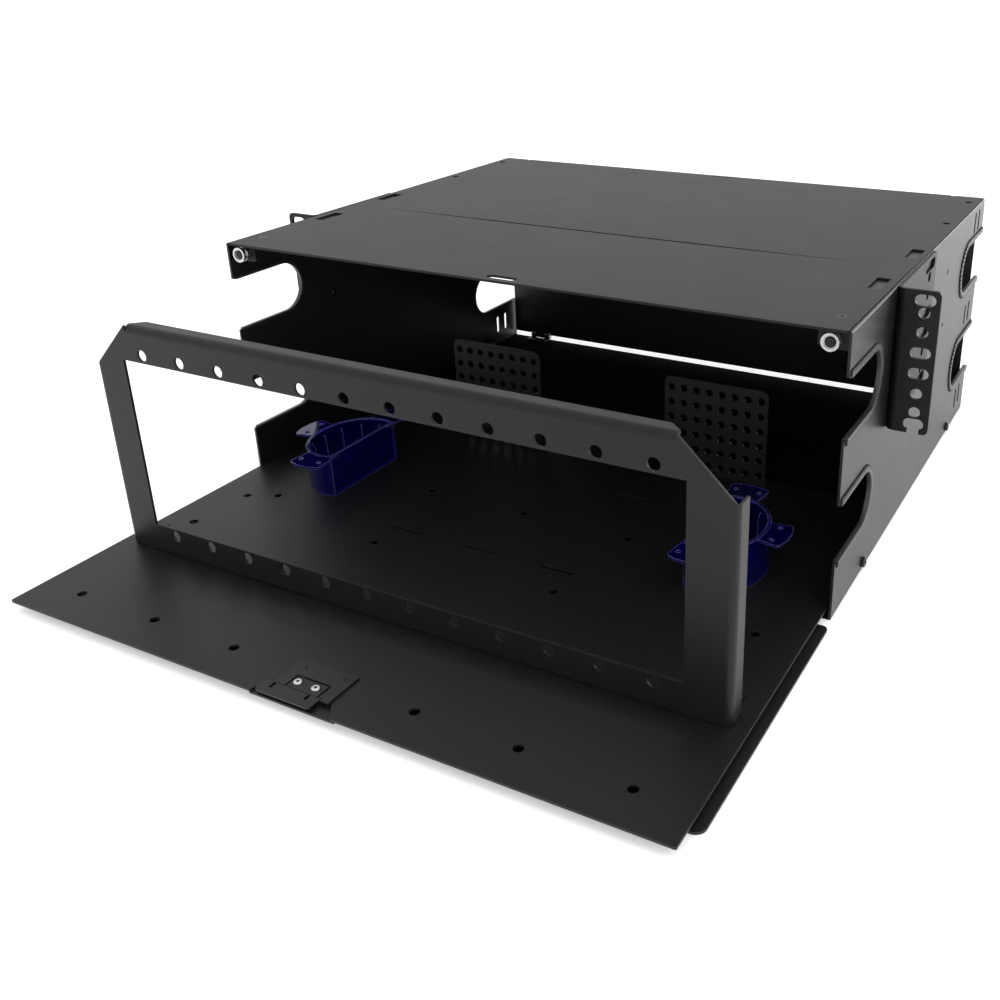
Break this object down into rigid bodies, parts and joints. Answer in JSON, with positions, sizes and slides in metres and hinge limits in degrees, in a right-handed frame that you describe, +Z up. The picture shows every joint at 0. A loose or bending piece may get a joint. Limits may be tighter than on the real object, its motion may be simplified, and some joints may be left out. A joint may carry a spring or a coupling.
{
  "type": "fiber termination box",
  "caption": "Rack-mount fibre termination enclosure with a pull-out tray, adapter plate frame, fibre spools, lacing plates and hinged doors.",
  "frame": {"origin": "centre of the chassis underside", "axes": "+X to the right seen from the front, +Y to the rear, +Z up"},
  "size_m": [0.4826, 0.5542, 0.1727],
  "materials": {
    "chassis_coat": "fine-textured black powder coat on sheet steel",
    "pan_coat": "matte black powder coat, rougher on the inside",
    "top_coat": "fine-textured black powder coat on sheet steel",
    "door_coat": "fine-textured black powder coat on sheet steel",
    "tray_coat": "fine-textured black powder coat on sheet steel",
    "frame_coat": "fine-textured black powder coat on sheet steel",
    "ear_coat": "fine-textured black powder coat on 2 mm steel",
    "latch_coat": "fine-textured black powder coat on spring steel",
    "hinge_coat": "black powder coat, rubbed at the knuckles",
    "hinge_pin": "ground steel pin",
    "black_screw": "black oxide",
    "bright_screw": "bright zinc plating",
    "magnet_steel": "nickel-plated magnet cup",
    "trim_rubber": "black edge trim with fine ribs",
    "glide_plastic": "low-friction plastic strip",
    "spool_blue": "deep blue, slightly translucent moulded plastic"
  },
  "bodies": {
    "chassis": {"ear_screw_lower_left": "black_screw", "ear_screw_lower_right": "black_screw", "ear_screw_upper_left": "black_screw", "ear_screw_upper_right": "black_screw", "edge_trim_front_lower_left": "trim_rubber", "edge_trim_front_lower_right": "trim_rubber", "edge_trim_front_upper_left": "trim_rubber", "edge_trim_front_upper_right": "trim_rubber", "edge_trim_rear_lower_left": "trim_rubber", "edge_trim_rear_lower_right": "trim_rubber", "edge_trim_rear_upper_left": "trim_rubber", "edge_trim_rear_upper_right": "trim_rubber", "floor_pan": "pan_coat", "front_hinge_leaf_left": "hinge_coat", "front_hinge_leaf_right": "hinge_coat", "front_hinge_pin_left": "hinge_pin", "front_hinge_pin_right": "hinge_pin", "front_magnet_left": "magnet_steel", "front_magnet_right": "magnet_steel", "glide_strip_left": "glide_plastic", "glide_strip_right": "glide_plastic", "rack_ear_left": "ear_coat", "rack_ear_right": "ear_coat", "rail_screw_front_left": "black_screw", "rail_screw_front_right": "black_screw", "rail_screw_rear_left": "black_screw", "rail_screw_rear_right": "black_screw", "rear_hinge_leaf_left": "hinge_coat", "rear_hinge_leaf_right": "hinge_coat", "rear_hinge_pin_left": "hinge_pin", "rear_hinge_pin_right": "hinge_pin", "rear_magnet_left": "magnet_steel", "rear_magnet_right": "magnet_steel", "side_wall_left": "chassis_coat", "side_wall_right": "chassis_coat", "slide_rail_left": "chassis_coat", "slide_rail_right": "chassis_coat", "top_front_plate": "top_coat", "top_rear_cover": "top_coat", "top_screw_left": "black_screw", "top_screw_right": "black_screw"},
    "tray": {"adapter_frame": "frame_coat", "fibre_spool_left": "spool_blue", "fibre_spool_right": "spool_blue", "frame_screw_left": "bright_screw", "frame_screw_right": "bright_screw", "lacing_plate_left": "tray_coat", "lacing_plate_right": "tray_coat", "latch_cover": "latch_coat", "tray": "tray_coat"},
    "latch": {"latch_hook": "latch_coat", "latch_lever": "latch_coat", "latch_screw_left": "bright_screw", "latch_screw_right": "bright_screw"},
    "front_door": {"front_door": "door_coat", "front_hinge_door_leaf_left": "hinge_coat", "front_hinge_door_leaf_right": "hinge_coat"},
    "rear_door": {"rear_door": "door_coat", "rear_hinge_door_leaf_left": "hinge_coat", "rear_hinge_door_leaf_right": "hinge_coat"}
  },
  "joints": [
    {"name": "tray_slide", "type": "slide", "parent": "chassis", "child": "tray", "axis": [0, 1, 0], "range_m": [0, 0.2048]},
    {"name": "front_door_hinge", "type": "hinge", "parent": "chassis", "child": "front_door", "pos_m": [0, -0.17885, 0.003], "axis": [1, 0, 0], "range_deg": [0, 90]},
    {"name": "rear_door_hinge", "type": "hinge", "parent": "chassis", "child": "rear_door", "pos_m": [0, 0.17225, 0.0042], "axis": [-1, 0, 0], "range_deg": [0, 90]},
    {"name": "latch_flex", "type": "hinge", "parent": "tray", "child": "latch", "pos_m": [0, -0.36965, 0.0082], "axis": [1, 0, 0], "range_deg": [0, 8], "stiffness_Nm_per_rad": 0.4}
  ]
}
